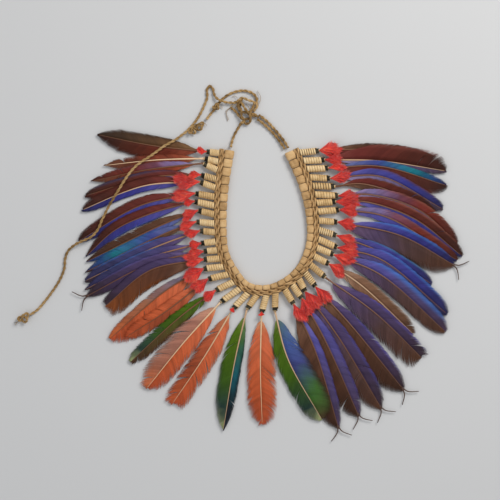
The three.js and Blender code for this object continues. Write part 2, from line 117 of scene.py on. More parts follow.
# %% Node helpers
def linear(hex_colour):
    """An sRGB hex colour as linear red, green, blue and alpha."""
    values = [int(hex_colour[k:k + 2], 16) / 255 for k in (1, 3, 5)]
    return [v / 12.92 if v <= 0.04045 else ((v + 0.055) / 1.055) ** 2.4 for v in values] + [1.0]


def add_node(tree, kind, links=None, **settings):
    """One node with its settings; links go from an output to the named or numbered input."""
    node = tree.nodes.new(kind)
    for key, value in settings.items():
        if key == "inputs":
            for name, number in value.items():
                node.inputs[name].default_value = number
        elif key == "ramp":
            ramp = node.color_ramp
            while len(ramp.elements) > 1:
                ramp.elements.remove(ramp.elements[0])
            ramp.elements[0].position = value[0][0]
            ramp.elements[0].color = linear(value[0][1])
            for place, hex_colour in value[1:]:
                ramp.elements.new(place).color = linear(hex_colour)
        else:
            setattr(node, key, value)
    for name, output in (links or {}).items():
        tree.links.new(output, node.inputs[name])
    return node


def new_material(name, roughness, specular=0.5):
    """A material with its shader, and the tree to add to."""
    material = bpy.data.materials.new(name)
    material.use_nodes = True
    tree = material.node_tree
    shader = tree.nodes["Principled BSDF"]
    shader.inputs["Roughness"].default_value = roughness
    shader.inputs["Specular IOR Level"].default_value = specular
    return material, tree, shader


GREY_RAMP = [(0.0, "#000000"), (1.0, "#ffffff")]

# %% [markdown]
# ### Plumage
# Barbs are keratin with a silky finish: fairly rough, with a weak highlight. Each
# scheme below is a row of colours from the root of the vane to its tip.

# %% Plumage colours
PLUMES = {
    "olive": [(0, "#8a6a48"), (0.3, "#6f4d30"), (0.7, "#4f3826"), (1, "#33241b")],
    "redbrown": [(0, "#9a5038"), (0.35, "#74301f"), (0.75, "#52291d"), (1, "#33211c")],
    "rust": [(0, "#b46a48"), (0.25, "#94452c"), (0.65, "#7c3a28"), (1, "#684632")],
    "maroon": [(0, "#955048"), (0.25, "#72302a"), (0.65, "#5d2a20"), (1, "#3c221a")],
    "lilac_maroon": [(0, "#a58cae"), (0.25, "#8678a8"), (0.42, "#7e4c60"), (0.65, "#7c3226"), (1, "#4a241c")],
    "lilac": [(0, "#b0a0c4"), (0.35, "#8678a0"), (0.7, "#5f4f74"), (1, "#4a3a42")],
    "blue": [(0, "#7f74aa"), (0.25, "#56529a"), (0.6, "#403f92"), (1, "#2c2a50")],
    "bright_blue": [(0, "#8a90c8"), (0.3, "#5f74c4"), (0.65, "#4a78c8"), (1, "#3c5aa0")],
    "teal_blue": [(0, "#7a80a0"), (0.4, "#46509a"), (0.72, "#1f7f8c"), (0.85, "#2c4a80"), (1, "#2c2a50")],
    "indigo": [(0, "#7d6ca0"), (0.25, "#54497c"), (0.6, "#444474"), (1, "#2f2a4a")],
    "purple": [(0, "#84709a"), (0.25, "#554570"), (0.65, "#4a3a5c"), (1, "#3a2a30")],
    "purple_brown": [(0, "#7a6080"), (0.3, "#534260"), (0.6, "#563e3c"), (1, "#5a3a28")],
    "brown": [(0, "#8a6650"), (0.3, "#62402e"), (0.7, "#533424"), (1, "#40281c")],
    "brown_rust": [(0, "#8a6650"), (0.35, "#5e3a2a"), (0.75, "#6a3c22"), (1, "#8a4a22")],
    "tan": [(0, "#b49478"), (0.3, "#8c664e"), (0.7, "#78543e"), (1, "#5c4030")],
    "orange": [(0, "#e0a070"), (0.2, "#d8714a"), (0.6, "#cc6238"), (1, "#b4502c")],
    "orange_pink": [(0, "#e4b090"), (0.25, "#c08470"), (0.6, "#b07864"), (1, "#c46a40")],
    "brown_orange": [(0, "#d89068"), (0.3, "#b85c3a"), (0.65, "#9c4a2c"), (1, "#c05c34")],
    "grey_orange": [(0, "#a89088"), (0.25, "#7c7080"), (0.55, "#a06a50"), (1, "#c06234")],
    "green": [(0, "#86904c"), (0.2, "#52700f"), (0.55, "#40600f"), (0.85, "#28403a"), (1, "#9aa070")],
    "green_brown": [(0, "#80803c"), (0.25, "#4c6a18"), (0.6, "#5a4a24"), (1, "#4a3020")],
    "teal": [(0, "#7c8a50"), (0.25, "#3c6438"), (0.55, "#14606c"), (0.8, "#101c24"), (1, "#202430")],
    "blue_green": [(0, "#6a8a50"), (0.25, "#4a62a0"), (0.5, "#444a84"), (0.75, "#467030"), (1, "#4a3c22")],
    "blue_purple": [(0, "#8076b0"), (0.3, "#5c56a0"), (0.6, "#564a78"), (1, "#4c3a50")],
}
print(len(PLUMES), "colour schemes")


# %% Plumage material
def plumage(name, before, after, edge):
    """The two sides' colours along the vane, an edge colour that is partly the vane's own and partly painted highlight
    and painted shade, and each barb's own tone.
    """
    material, tree, shader = new_material(name, 0.55, 0.2)
    place = add_node(tree, "ShaderNodeUVMap", uv_map="vane")
    parts = add_node(tree, "ShaderNodeSeparateXYZ", {0: place.outputs[0]})
    across, along = parts.outputs[0], parts.outputs[1]
    tone = add_node(tree, "ShaderNodeAttribute", attribute_name="tone").outputs["Fac"]

    # The bands of colour don't meet in straight lines: slow noise shifts them along the vane.
    where = add_node(tree, "ShaderNodeTexCoord").outputs["Object"]
    drift = add_node(tree, "ShaderNodeTexNoise", {"Vector": where}, inputs={"Scale": 60.0, "Detail": 3.0})
    shift = add_node(tree, "ShaderNodeMath", {0: drift.outputs["Fac"]}, operation="MULTIPLY_ADD",
                     inputs={1: 0.22, 2: -0.11})
    moved = add_node(tree, "ShaderNodeMath", {0: along, 1: shift.outputs[0]}, operation="ADD")
    left = add_node(tree, "ShaderNodeValToRGB", {0: moved.outputs[0]}, ramp=PLUMES[before])
    right = add_node(tree, "ShaderNodeValToRGB", {0: moved.outputs[0]}, ramp=PLUMES[after])
    side = add_node(tree, "ShaderNodeMath", {0: across}, operation="GREATER_THAN", inputs={1: 0.5})
    coat = add_node(tree, "ShaderNodeMix", {0: side.outputs[0], 6: left.outputs[0], 7: right.outputs[0]},
                    data_type="RGBA")

    # A narrow band along the outer edge of one side, in a colour that is partly the vane's own edge colour and partly
    # painted highlight and painted shade.
    side_of_edge, edge_colour_and_painted_light, reach = edge
    inner, outer = (1 - reach, 1.0) if side_of_edge > 0 else (reach, 0.0)
    edge_colour_and_light_mask = add_node(tree, "ShaderNodeMapRange", {0: across}, interpolation_type="SMOOTHSTEP",
                   inputs={1: inner, 2: outer, 3: 0.0, 4: 0.85})
    coat_with_edge_colour_and_light = add_node(tree, "ShaderNodeMix", {0: edge_colour_and_light_mask.outputs[0], 6: coat.outputs[2]}, data_type="RGBA",
                      inputs={7: linear(edge_colour_and_painted_light)})

    gain = add_node(tree, "ShaderNodeMapRange", {0: tone}, inputs={3: 0.68, 4: 1.2})
    shaded = add_node(tree, "ShaderNodeMix", {6: coat_with_edge_colour_and_light.outputs[2], 7: gain.outputs[0]}, data_type="RGBA",
                      blend_type="MULTIPLY", inputs={0: 1.0})
    tree.links.new(shaded.outputs[2], shader.inputs["Base Color"])
    return material


# %% [markdown]
# ## Drawing with arrays
# A vane is hundreds of barbs and a cord is two long plies, so they are swept in one go: a section is
# carried along many lines at once and the rings are joined into closed bodies. Anything that is one
# turned or spun shape is made with bmesh operators instead, and stamped where it is needed.

# %% Curves through points
def smooth_line(points, per_span=24):
    """A centripetal Catmull-Rom curve through the points, as dense samples."""
    pts = np.asarray(points, float)
    ends = np.vstack([2 * pts[0] - pts[1], pts, 2 * pts[-1] - pts[-2]])
    steps = np.linspace(0, 1, per_span, endpoint=False)[:, None]
    spans = []
    for k in range(1, len(ends) - 2):
        a, b, c, d = ends[k - 1:k + 3]
        ab, bc, cd = (max(np.linalg.norm(q - p), 1e-6) ** 0.5 for p, q in ((a, b), (b, c), (c, d)))
        leave = ((b - a) / ab - (c - a) / (ab + bc) + (c - b) / bc) * bc
        arrive = ((c - b) / bc - (d - b) / (bc + cd) + (d - c) / cd) * bc
        cubic = 2 * b - 2 * c + leave + arrive
        square = -3 * b + 3 * c - 2 * leave - arrive
        spans.append(b + steps * (leave + steps * (square + steps * cubic)))
    return np.vstack(spans + [pts[-1:]])


def lengths_along(line):
    """Distance from the start to each sample."""
    return np.concatenate([[0.0], np.cumsum(np.linalg.norm(np.diff(line, axis=0), axis=1))])


def at_length(line, distance):
    """Places on a sampled line at the given distances from its start."""
    run = lengths_along(line)
    return np.stack([np.interp(distance, run, line[:, k]) for k in range(line.shape[1])], axis=-1)


def directions(line):
    """Unit directions of travel at each sample; works on stacks of lines too."""
    way = np.gradient(line, axis=-2)
    return way / np.maximum(np.linalg.norm(way, axis=-1, keepdims=True), 1e-9)


def left_of(way):
    """Level unit vectors to the left of the directions of travel."""
    side = np.stack([-way[..., 1], way[..., 0], np.zeros(way.shape[:-1])], axis=-1)
    return side / np.maximum(np.linalg.norm(side, axis=-1, keepdims=True), 1e-9)


# %% Sweeping a section along many lines
BARB_SECTION = np.array([(-1.0, -0.5), (1.0, -0.5), (0.0, 0.9)])


def round_section(sides):
    """A regular polygon of radius one."""
    turn = 2 * math.pi * (np.arange(sides) + 0.5) / sides
    return np.column_stack([np.cos(turn), np.sin(turn)])


def sweep(lines, half_width, half_height, section, across=None):
    """Closed bodies along lines (B, P, 3) with sizes (B, P); returns points, faces and owners."""
    lines = np.asarray(lines, float)
    count, stations = lines.shape[:2]
    way = directions(lines)
    side = left_of(way) if across is None else across
    rise = np.cross(way, side)
    wide = (np.broadcast_to(half_width, (count, stations))[..., None] * side)[:, :, None, :]
    tall = (np.broadcast_to(half_height, (count, stations))[..., None] * rise)[:, :, None, :]
    points = lines[:, :, None, :] + wide * section[:, 0][:, None] + tall * section[:, 1][:, None]
    sides = len(section)
    index = np.arange(count * stations * sides).reshape(count, stations, sides)
    near, far = index[:, :-1], index[:, 1:]
    walls = np.stack([near, np.roll(near, -1, 2), np.roll(far, -1, 2), far], -1).reshape(-1, 4)
    faces = walls.tolist() + index[:, 0, ::-1].tolist() + index[:, -1].tolist()
    owner = np.repeat(np.arange(count), stations * sides)
    return points.reshape(-1, 3), faces, owner


class Joined:
    """Many closed bodies gathered into one mesh, with their UV and tone."""

    def __init__(self):
        self.points, self.faces, self.uv, self.tone, self.slots = [], [], [], [], []
        self.size = 0

    def add(self, points, faces, uv=None, tone=0.5, slot=0):
        count = len(points)
        self.points.append(points)
        self.faces.extend([[v + self.size for v in face] for face in faces])
        self.uv.append(np.zeros((count, 2)) if uv is None else uv)
        self.tone.append(np.broadcast_to(tone, (count,)))
        self.slots.extend([slot] * len(faces))
        self.size += count

    def build(self, name, materials, smooth=True):
        mesh = bpy.data.meshes.new(name)
        mesh.from_pydata(to_metres(np.vstack(self.points)).tolist(), [], self.faces)
        corner = np.empty(len(mesh.loops), int)
        mesh.loops.foreach_get("vertex_index", corner)
        layer = mesh.uv_layers.new(name="vane")
        layer.data.foreach_set("uv", np.vstack(self.uv)[corner].astype(np.float32).ravel())
        attribute = mesh.attributes.new("tone", "FLOAT", "POINT")
        attribute.data.foreach_set("value", np.concatenate(self.tone).astype(np.float32))
        for material in materials:
            mesh.materials.append(material)
        mesh.polygons.foreach_set("material_index", self.slots)
        mesh.polygons.foreach_set("use_smooth", [smooth] * len(mesh.polygons))
        body = bmesh.new()
        body.from_mesh(mesh)
        bmesh.ops.recalc_face_normals(body, faces=body.faces)
        body.to_mesh(mesh)
        body.free()
        piece = bpy.data.objects.new(name, mesh)
        bpy.context.scene.collection.objects.link(piece)
        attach(piece, "root")
        return piece


def triangles(piece):
    """How many triangles a piece's mesh comes to."""
    return sum(len(face.vertices) - 2 for face in piece.data.polygons)


# %% [markdown]
# ## Cords
# The ties, the loop and the long tail are two-ply palm-fibre cord, about three millimetres thick.
# They come first because their routes fix what the rest has to clear. Each route is the list of
# places that the cord passes; the plies wind round that line.

# %% Routes of the cords
ROUTES = {
    "left_tie": [[-42.4, 154.4, 3.4], [-41, 161, 2.6], [-38, 168.9, 1.8], [-34.5, 175, 2.2], [-30.2, 182.4, 3.6]],
    "right_tie_1": [
        [20.4, 153.4, 3.4], [16.6, 160.2, 2.6], [9.8, 169, 1.8], [3, 176.8, 1.7], [-5.4, 185, 2.2],
        [-11.6, 189.4, 3.4]],
    "right_tie_2": [
        [16.6, 152.6, 3.4], [13.2, 157.8, 2.6], [6.8, 166.4, 1.8], [0, 173.8, 1.7], [-8.4, 181.4, 2.2],
        [-13.4, 185, 3.4]],
    "loop_cord": [
        [-14, 201.6, 3.4], [-14.2, 208.4, 2.2], [-19.5, 214, 1.8], [-29.8, 216.4, 1.6], [-42.4, 213.4, 1.6],
        [-50.2, 208.4, 1.6], [-55.4, 203, 2.6], [-58.8, 197.8, 4.2], [-64.6, 190.8, 2.6], [-69.2, 184.6, 3.6]],
    "tail_cord": [
        [-37.6, 203, 3.8], [-46, 203.2, 3.6], [-53, 205, 5.9], [-58.4, 208.4, 4], [-61.2, 213.6, 2],
        [-62.4, 218.8, 1.6], [-66, 221.4, 1.6], [-68.6, 217.6, 1.6], [-68.4, 209.2, 1.6], [-71.2, 201.3, 1.6],
        [-76.2, 190.6, 1.8], [-82.4, 181.1, 2.6], [-90.4, 172.2, 3.6], [-96.6, 167.1, 5.4], [-102.1, 162.9, 6.8],
        [-116.1, 154.8, 7.6], [-130, 144.7, 7.6], [-146, 133.8, 7.6], [-157.2, 120.5, 7.6], [-166.9, 104.7, 7.6],
        [-175.7, 90, 7.6], [-183.2, 75.4, 7.6], [-188.4, 63.5, 7.6], [-195.4, 55.9, 7.4], [-205.2, 51.2, 6.8],
        [-214, 46.8, 5], [-221.3, 40.2, 2.8], [-224.6, 31.4, 1.6], [-225.6, 20.8, 1.6], [-230.2, 9, 1.6],
        [-237.6, -2.8, 1.6], [-246.4, -14.5, 1.6], [-255.2, -24.6, 1.9], [-263.4, -30.2, 3.4]],
}
routes = {name: smooth_line(points) for name, points in ROUTES.items()}
for name, line in routes.items():
    print(name, round(lengths_along(line)[-1], 1), "mm")

# %% Cord fibre
def fibre_material(name, dark, middle, light, strands, roughness):
    """Spun or split plant fibre: fine strands along U, blotches from handling, and a matching relief."""
    material, tree, shader = new_material(name, roughness, 0.3)
    place = add_node(tree, "ShaderNodeUVMap", uv_map="vane")
    stretch = add_node(tree, "ShaderNodeMapping", {0: place.outputs[0]}, inputs={3: strands})
    hair = add_node(tree, "ShaderNodeTexNoise", {"Vector": stretch.outputs[0]},
                    inputs={"Scale": 1.0, "Detail": 4.0, "Roughness": 0.65})
    where = add_node(tree, "ShaderNodeTexCoord").outputs["Object"]
    blotch = add_node(tree, "ShaderNodeTexNoise", {"Vector": where}, inputs={"Scale": 180.0, "Detail": 3.0})
    tone = add_node(tree, "ShaderNodeAttribute", attribute_name="tone").outputs["Fac"]
    mixed = add_node(tree, "ShaderNodeMath", {0: hair.outputs["Fac"], 1: blotch.outputs["Fac"]}, operation="ADD")
    toned = add_node(tree, "ShaderNodeMath", {0: tone, 2: mixed.outputs[0]}, operation="MULTIPLY_ADD",
                     inputs={1: 0.8})
    span = add_node(tree, "ShaderNodeMapRange", {0: toned.outputs[0]}, inputs={1: 0.85, 2: 1.95})
    colour = add_node(tree, "ShaderNodeValToRGB", {0: span.outputs[0]}, ramp=[(0, dark), (0.5, middle), (1, light)])
    tree.links.new(colour.outputs[0], shader.inputs["Base Color"])
    bump = add_node(tree, "ShaderNodeBump", {"Height": hair.outputs["Fac"]},
                    inputs={"Strength": 0.5, "Distance": 0.0003})
    tree.links.new(bump.outputs[0], shader.inputs["Normal"])
    return material


cord_fibre = fibre_material("palm_fibre_cord_twisted", "#5c4424", "#9c7b4c", "#cfae7c", (0.5, 14, 1), 0.85)

PLY_RADIUS = 0.86
PLY_OFFSET = 0.76
PLY_PITCH = 11.0
PLY_SIDES = 8


def twisted(line, step=0.9, grow=1.0):
    """The two plies of a cord along a sampled line: points, faces, UV."""
    total = lengths_along(line)[-1]
    reach = np.linspace(0, total, max(4, int(total / step)))
    middle = at_length(line, reach)
    way = directions(middle)
    side = left_of(way)
    rise = np.cross(way, side)
    plies = []
    for phase in (0, math.pi):
        turn = (2 * math.pi * reach / PLY_PITCH + phase)[:, None]
        plies.append(middle + grow * PLY_OFFSET * (np.cos(turn) * side + np.sin(turn) * rise))
    points, faces, owner = sweep(plies, PLY_RADIUS * grow, PLY_RADIUS * grow, round_section(PLY_SIDES))
    run = np.tile(np.repeat(reach, PLY_SIDES), 2)
    around = np.tile(np.tile(np.arange(PLY_SIDES) / PLY_SIDES, len(reach)), 2)
    return points, faces, np.column_stack([run, around + 0.3 * owner])


def wander(count, rng, slow=9):
    """A smooth random number from 0 to 1 for each of a row of things."""
    knots = rng.random(max(3, count // slow + 3))
    return np.interp(np.linspace(0, len(knots) - 1, count), np.arange(len(knots)), knots)


cords = {}
for name, line in routes.items():
    joined = Joined()
    points, faces, uv = twisted(line)
    rng = np.random.default_rng(len(name))
    run = np.linspace(0, 1, 64)
    tone = np.interp(uv[:, 0] / uv[:, 0].max(), run, 0.2 + 0.6 * wander(64, rng, 5))
    joined.add(points, faces, uv, tone)
    cords[name] = joined.build(f"{name}_twisted", [cord_fibre])
    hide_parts(name)
    print(name, triangles(cords[name]), "triangles")

# %% [markdown]
# ## Knots
# The main knot is a real tangle: each stretch below is a short run of the same cord that goes over
# and under the others. The three small knots are overhand knots, whose line is a closed formula
# opened at one point.

# %% Knots
TANGLE = [
    [[-38, 203.4, 3.8], [-32, 203.8, 5.2], [-28.4, 199, 6.4], [-25.4, 194.4, 6], [-20.6, 191.4, 4.4], [-14, 189.6, 2.6]],
    [[-35.2, 199, 2.4], [-34.4, 205.4, 3], [-29.6, 208.2, 4.4], [-23.4, 205.6, 6], [-17.4, 203.6, 5],
     [-13.8, 199.4, 3.2], [-17.6, 193.6, 2.2]],
    [[-16.4, 203, 2.6], [-18.4, 197.4, 4.6], [-21.4, 191.4, 7], [-20.8, 184.4, 5.4], [-23, 180.4, 3.4],
     [-27.4, 180.6, 2.6], [-27.2, 184.6, 3], [-22, 185.6, 2.2]],
    [[-42, 197.4, 1.8], [-37.2, 193.4, 2.2], [-32.8, 187.6, 3.2], [-28.4, 183.6, 4.6], [-30.6, 180, 3.6]],
    [[-11.8, 187.8, 3.2], [-18.6, 189, 3.4], [-25, 192, 3.2], [-31.4, 193.6, 4.2], [-34.6, 198, 5.6],
     [-32.6, 203.4, 7.4], [-29.6, 206.6, 6.8]],
    [[-31.2, 206, 2.2], [-32.4, 199.4, 3.2], [-31, 193, 7], [-30.6, 187.6, 5.8], [-27.6, 184, 6.4]],
]


def overhand(centre, size, turn, lift, open_end=0.35):
    """The line of a small overhand knot: a trefoil, opened, flattened and turned into place."""
    share = np.linspace(open_end, 2 * math.pi - open_end, 90)
    knot = np.column_stack([np.sin(share) + 2 * np.sin(2 * share), np.cos(share) - 2 * np.cos(2 * share),
                            -np.sin(3 * share)]) / 3
    knot = knot * np.array([size[0], size[1], lift])
    angle = math.radians(turn)
    plan = knot[:, :2] @ np.array([[math.cos(angle), math.sin(angle)], [-math.sin(angle), math.cos(angle)]])
    return np.column_stack([plan, knot[:, 2]]) + np.asarray(centre)


def knot_piece(node, lines, grow, loose_ends):
    """A knot of cord runs and a few frayed fibres, in place of its solid."""
    joined = Joined()
    rng = np.random.default_rng(len(node) * 7)
    for line in lines:
        points, faces, uv = twisted(line, 0.8, grow)
        joined.add(points, faces, uv, 0.15 + 0.6 * rng.random())
    for start, end, bow in loose_ends:
        middle = (np.array(start) + np.array(end)) / 2 + np.array(bow)
        line = smooth_line([start, middle, end], 10)
        points, faces, _ = sweep([line], 0.28, 0.28, round_section(4))
        joined.add(points, faces, None, rng.random())
    piece = joined.build(f"{node}_tied", [cord_fibre])
    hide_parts(node)
    print(piece.name, triangles(piece), "triangles")
    return piece


FRAYS = [
    ([-13, 198, 2.0], [-13.4, 216.4, 1.2], (3.4, 1.5, 1)), ([-41, 199, 2], [-46, 182.8, 1.0], (-3.6, 1.8, 0)),
    ([-41.6, 198.4, 2.4], [-45, 184.4, 1.0], (-4.6, 2.4, 0)), ([-38.6, 200.2, 3], [-43.6, 197.8, 2], (0, 1, 0)),
    ([-38, 202.2, 3.2], [-43, 198.2, 1.2], (0, 1.4, 0)), ([-36.6, 199, 3.4], [-37.4, 192.2, 1.2], (-1.6, 0, 0)),
    ([-35.2, 208, 2.4], [-41.6, 209.4, 1.0], (0.6, 1.6, 0)), ([-24, 199.6, 5.6], [-22.2, 192.4, 5.2], (1.2, 0, 1)),
]
knots = {
    "main_knot": knot_piece("main_knot", [smooth_line(run) for run in TANGLE], 1.0, FRAYS),
    "stop_knot": knot_piece("stop_knot", [overhand((-58.6, 198.6, 4.0), (3.6, 3.2), 40, 4.6)], 0.82,
                            [([-55.8, 200, 3], [-51.6, 196.4, 1], (0.5, 0.6, 0))]),
    "slide_knot": knot_piece("slide_knot", [overhand((-77.6, 176.8, 4.4), (6.6, 3.8), 24, 4.8),
                                            overhand((-84.6, 172, 4.0), (4.2, 3.4), 50, 4.2)], 0.95,
                             [([-72, 181, 3], [-69.4, 177.6, 2], (1, 0, 0))]),
    "end_knot": knot_piece("end_knot", [overhand((-269.8, -33.4, 4.6), (6.6, 4.6), 30, 5.0)], 1.0,
                           [([-275, -36.4, 3], [-281, -38.8, 1], (0, -0.6, 0)),
                            ([-275, -36.8, 2.4], [-279.6, -41, 1], (0, 0.6, 0))]),
}

# %% Each cord's route in metres
for name, piece in cords.items():
    line = to_metres(routes[name])

# %% [markdown]
# ## The layout of the band and the feathers
# The twined row is one curve, and the sleeves stand on it at equal steps. The table gives each
# feather its tie, the line of its shaft, its width on each side and its colours. The feathers
# overlap like roof tiles: `step` counts each one up or down from the one before.

# %% The twined row
ROW_POINTS = [
    [-52, 152], [-57, 110], [-58, 72], [-54.5, 38], [-44, 17], [-27, -2], [-5, -6],
    [17, 1], [38, 19], [50, 47], [51, 78], [44, 114], [29, 152.5]]
row_line = smooth_line(flat(ROW_POINTS), 40)
ROW_LENGTH = lengths_along(row_line)[-1]
print("row", round(ROW_LENGTH, 1), "mm")

# %% One row for each feather
# Columns: tie, via points, tip, width before and after, step, end, colours before and after,
# the edge colour, part the vane's own and part painted highlight and shade (side, colour, reach), wear from 0 to 1.
FEATHERS = [
    ((-67, 149), [(-129, 156)], (-189, 168), (12, 15), 0, "point", "olive", "redbrown", (-1, "#4a3422", 0.3), 0.3),
    ((-69, 141), [(-126, 140)], (-182, 134), (7, 9), 1, "point", "rust", "rust", (1, "#a86848", 0.2), 0.8),
    ((-70, 135), [(-131, 130)], (-195, 117), (8, 8), 1, "point", "lilac_maroon", "rust", (-1, "#8a5a60", 0.2), 0.6),
    ((-73, 123), [(-131, 121)], (-202, 101), (8, 9), 1, "round", "maroon", "lilac_maroon", (-1, "#4a4a68", 0.3), 0.4),
    ((-74, 115), [(-131, 113), (-159, 105)], (-206, 85), (10, 7), 1, "round", "maroon", "blue",
     (-1, "#5a2a20", 0.2), 0.4),
    ((-79, 103), [(-142, 90)], (-210, 51), (10, 8), 1, "round", "maroon", "blue", (-1, "#6a3a30", 0.2), 0.4),
    ((-80, 94), [(-131, 81), (-170, 63)], (-202, 34), (9, 9), 1, "point", "maroon", "blue", (1, "#4a62a8", 0.2), 0.3),
    ((-76, 84), [(-120, 68)], (-202, 28), (9, 8), 1, "point", "brown", "teal_blue", (-1, "#6a4a34", 0.2), 0.4),
    ((-78, 72), [(-120, 57)], (-202, 17), (9, 6), 1, "point", "teal_blue", "brown", (-1, "#4a78b8", 0.2), 0.3),
    ((-74, 62), [(-131, 42)], (-203, 7), (9, 8), 1, "round", "indigo", "purple", (-1, "#4a86d8", 0.16), 0.2),
    ((-73, 49), [(-137, 31)], (-204, -3), (9, 8), 1, "point", "indigo", "purple", (-1, "#5a80c8", 0.16), 0.2),
    ((-70, 40), [(-131, 26)], (-202, -10), (9, 8), 1, "fork", "purple", "purple", (-1, "#6a60a0", 0.18), 0.3),
    ((-70, 31), [(-131, 19)], (-180, -20), (9, 18), 1, "blunt", "purple", "brown_rust", (1, "#8a4a1c", 0.2), 0.3),
    ((-70, 21), [(-115, -4)], (-175, -56), (8, 19), 1, "round", "grey_orange", "orange", (1, "#c05a30", 0.2), 0.8),
    ((-65, 10), [(-115, -27)], (-157, -54), (10, 10), 1, "round", "orange", "brown_orange", (1, "#9a5a34", 0.2), 0.7),
    ((-57, -2), [(-98, -32)], (-152, -81), (9, 10), 1, "round", "green", "green_brown", (1, "#5a3420", 0.3), 0.8),
    ((-51, -14), [(-93, -59)], (-135, -111), (18, 16), 1, "round", "orange_pink", "orange", (-1, "#b08878", 0.3), 0.8),
    ((-38, -21), [(-71, -75)], (-107, -128), (13, 15), -1, "blunt", "brown_orange", "orange", (1, "#d27a50", 0.2), 1),
    ((-23, -21), [(-38, -80)], (-51, -157), (15, 9), 1, "point", "green", "teal", (1, "#101820", 0.3), 0.4),
    ((-8, -25), [(-10, -91)], (-8, -150), (16, 18), 1, "round", "orange", "orange", (1, "#d8784c", 0.2), 0.9),
    ((6, -23), [(20, -78)], (58, -146), (15, 22), 1, "round", "green", "blue_green", (1, "#4a4030", 0.2), 0.5),
    ((25, -16), [(50, -69)], (76, -155), (20, 9), -1, "fork", "brown", "blue_purple", (1, "#5a5098", 0.2), 0.3),
    ((34, -10), [(61, -58)], (98, -141), (19, 11), -1, "fork", "brown", "blue_purple", (1, "#5a5098", 0.2), 0.3),
    ((38, -2), [(78, -58)], (123, -133), (18, 13), -1, "fork", "purple_brown", "purple", (1, "#5c56a0", 0.2), 0.3),
    ((49, 3), [(89, -41)], (148, -113), (20, 12), -1, "fork", "brown", "purple", (1, "#6258a8", 0.2), 0.3),
    ((59, 13), [(116, -28)], (168, -78), (20, 12), -1, "blunt", "purple_brown", "purple", (1, "#6258a8", 0.2), 0.7),
    ((63, 27), [(100, 3)], (158, -51), (10, 11), -1, "round", "tan", "tan", (1, "#a08068", 0.2), 0.5),
    ((68, 37), [(122, 14)], (193, -48), (13, 13), -1, "round", "purple_brown", "blue_purple", (1, "#4e80d0", 0.3), 0.2),
    ((72, 45), [(122, 31)], (195, -29), (10, 12), -1, "round", "indigo", "blue", (1, "#4e80d0", 0.2), 0.2),
    ((71, 58), [(122, 39)], (178, 4), (9, 9), -1, "round", "blue", "blue", (1, "#4a80b0", 0.2), 0.2),
    ((72, 72), [(144, 57)], (204, 24), (22, 10), -1, "fork", "purple_brown", "blue", (1, "#4e86d8", 0.24), 0.2),
    ((74, 85), [(127, 78)], (206, 30), (8, 9), -1, "round", "blue", "lilac_maroon", (1, "#8a5a60", 0.2), 0.3),
    ((70, 94), [(106, 94), (160, 75)], (211, 35), (8, 10), -1, "round", "blue", "maroon", (1, "#a06050", 0.2), 0.3),
    ((73, 101), [(111, 102), (166, 84)], (207, 47), (8, 10), -1, "round", "lilac", "lilac_maroon",
     (1, "#9a5a48", 0.2), 0.4),
    ((69, 111), [(100, 114), (144, 102)], (183, 84), (9, 9), -1, "point", "brown", "maroon", (1, "#7a4a38", 0.2), 0.5),
    ((64, 120), [(122, 122)], (191, 86), (9, 9), -1, "round", "lilac", "blue", (1, "#6a4a60", 0.2), 0.4),
    ((62, 131), [(122, 133)], (195, 112), (15, 7), -1, "round", "maroon", "teal_blue", (-1, "#8a3a2a", 0.2), 0.2),
    ((58, 140), [(122, 139)], (194, 128), (6, 20), -1, "round", "lilac", "maroon", (1, "#8a4a40", 0.2), 0.4),
    ((52, 150), [(122, 152)], (179, 145), (9, 7), -1, "point", "maroon", "brown", (1, "#4a3a34", 0.3), 0.8),
]
COUNT = len(FEATHERS)
TIE_LENGTH = 4.6
ROOT_GAP = 1.0

# %% Shafts, ranks and the height of each feather
LAYER_STEP = 1.2
ROOT_HEIGHT = 3.5
TIP_HEIGHT = 2.9
DROOP_RUN = 100.0
BEYOND_TIP = 60.0

shafts, ranks, sleeve_ways, row_feet = [], [], [], []
rank = 0
for index, (tie, via, tip, *rest) in enumerate(FEATHERS):
    rank += rest[1]
    foot = at_length(row_line, [ROW_LENGTH * (index + 0.5) / COUNT])[0]
    toward = flat([tie])[0] - foot
    toward /= np.linalg.norm(toward)
    root = flat([tie])[0] + toward * (TIE_LENGTH / 2 + ROOT_GAP)
    shafts.append(smooth_line(np.vstack([root, flat(via), flat([tip])]), 20))
    ranks.append(rank)
    sleeve_ways.append(toward)
    row_feet.append(foot)
ranks = np.array(ranks, float)


def gaps_to(line, points):
    """Distance from each point to a sampled line, and the side it is on."""
    start, step = line[:-1, :2], np.diff(line[:, :2], axis=0)
    offset = points[:, None, :2] - start[None]
    share = np.clip((offset * step).sum(-1) / (step ** 2).sum(-1), 0, 1)
    apart = offset - share[..., None] * step
    distance = np.linalg.norm(apart, axis=-1)
    nearest = distance.argmin(1)
    pick = np.arange(len(points))
    cross = step[nearest, 0] * offset[pick, nearest, 1] - step[nearest, 1] * offset[pick, nearest, 0]
    return distance[pick, nearest], np.sign(cross)


guides = []
for line in shafts:
    ahead = directions(line[-3:])[-1] * BEYOND_TIP
    guides.append(np.vstack([line[:-1:3], line[-1], line[-1] + ahead]))
row_guide = row_line[::6]


